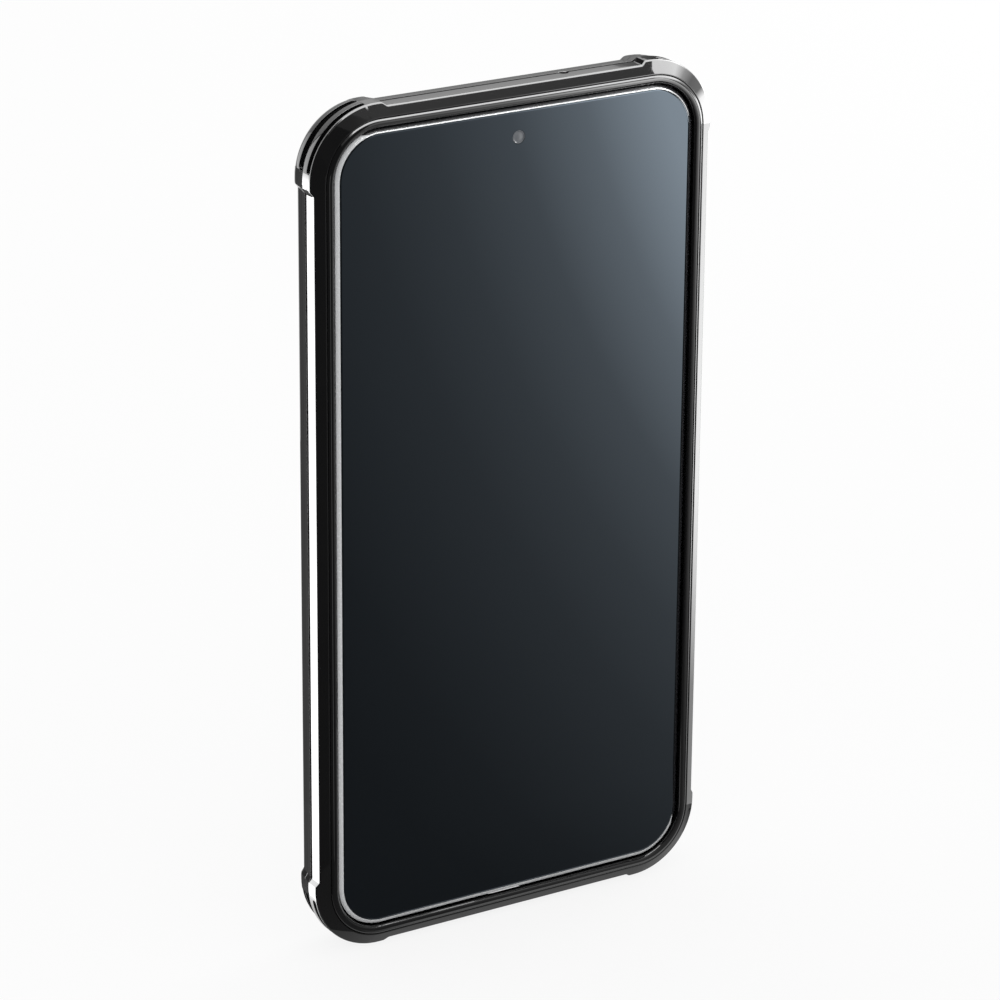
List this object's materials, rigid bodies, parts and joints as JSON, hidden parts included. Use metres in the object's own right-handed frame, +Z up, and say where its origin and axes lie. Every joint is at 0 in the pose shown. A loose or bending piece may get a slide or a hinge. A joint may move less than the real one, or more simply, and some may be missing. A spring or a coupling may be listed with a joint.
{
  "type": "phone case",
  "caption": "Glossy black bumper case with ribbed proud corners, a raised lip and key covers, on a plain slab handset that lifts out at the front.",
  "frame": {"origin": "middle of the bounding box's base, under the corner bumpers the case stands on", "axes": "+Z up the handset, the screen faces -Y, +X to the right seen from the front"},
  "size_m": [0.0796, 0.0107, 0.155],
  "materials": {
    "gloss_soft": "black, glossy, slightly soft",
    "satin_hard": "black, satin, fine grain",
    "black_band": "black anodised, satin, with a polished edge",
    "front_glass": "polished",
    "display": "black, switched off",
    "dark_lens": "coated lens",
    "rear_glass": "satin black glass",
    "island": "satin black",
    "lens_ring": "turned, dark",
    "flash": "frosted",
    "socket": "plain"
  },
  "bodies": {
    "case": {"bumper_frame": "gloss_soft", "back_plate": "satin_hard"},
    "volume_cover": {"volume_key_cover": "gloss_soft"},
    "power_cover": {"power_key_cover": "gloss_soft"},
    "handset": {"handset_frame": "black_band", "front_glass": "front_glass", "display_panel": "display", "front_camera": "dark_lens", "rear_cover": "rear_glass", "camera_island": "island", "lens_rings": "lens_ring", "rear_lenses": "dark_lens", "flash_lens": "flash", "usb_socket": "socket"},
    "handset_volume": {"volume_key": "black_band"},
    "handset_power": {"power_key": "black_band"}
  },
  "joints": [
    {"name": "handset_lift_out", "type": "slide", "parent": "case", "child": "handset", "axis": [0, -1, 0], "range_m": [0, 0.02]},
    {"name": "volume_cover_press", "type": "slide", "parent": "case", "child": "volume_cover", "axis": [-1, 0, 0], "range_m": [0, 0.0003], "stiffness_N_per_m": 3000},
    {"name": "power_cover_press", "type": "slide", "parent": "case", "child": "power_cover", "axis": [-1, 0, 0], "range_m": [0, 0.0003], "stiffness_N_per_m": 3000},
    {"name": "volume_key_press", "type": "slide", "parent": "handset", "child": "handset_volume", "axis": [-1, 0, 0], "range_m": [0, 0.0003], "stiffness_N_per_m": 1500},
    {"name": "power_key_press", "type": "slide", "parent": "handset", "child": "handset_power", "axis": [-1, 0, 0], "range_m": [0, 0.0003], "stiffness_N_per_m": 1500}
  ],
  "couplings": [
    {"joint": "volume_key_press", "follows": "volume_cover_press", "ratio": 1},
    {"joint": "power_key_press", "follows": "power_cover_press", "ratio": 1}
  ]
}
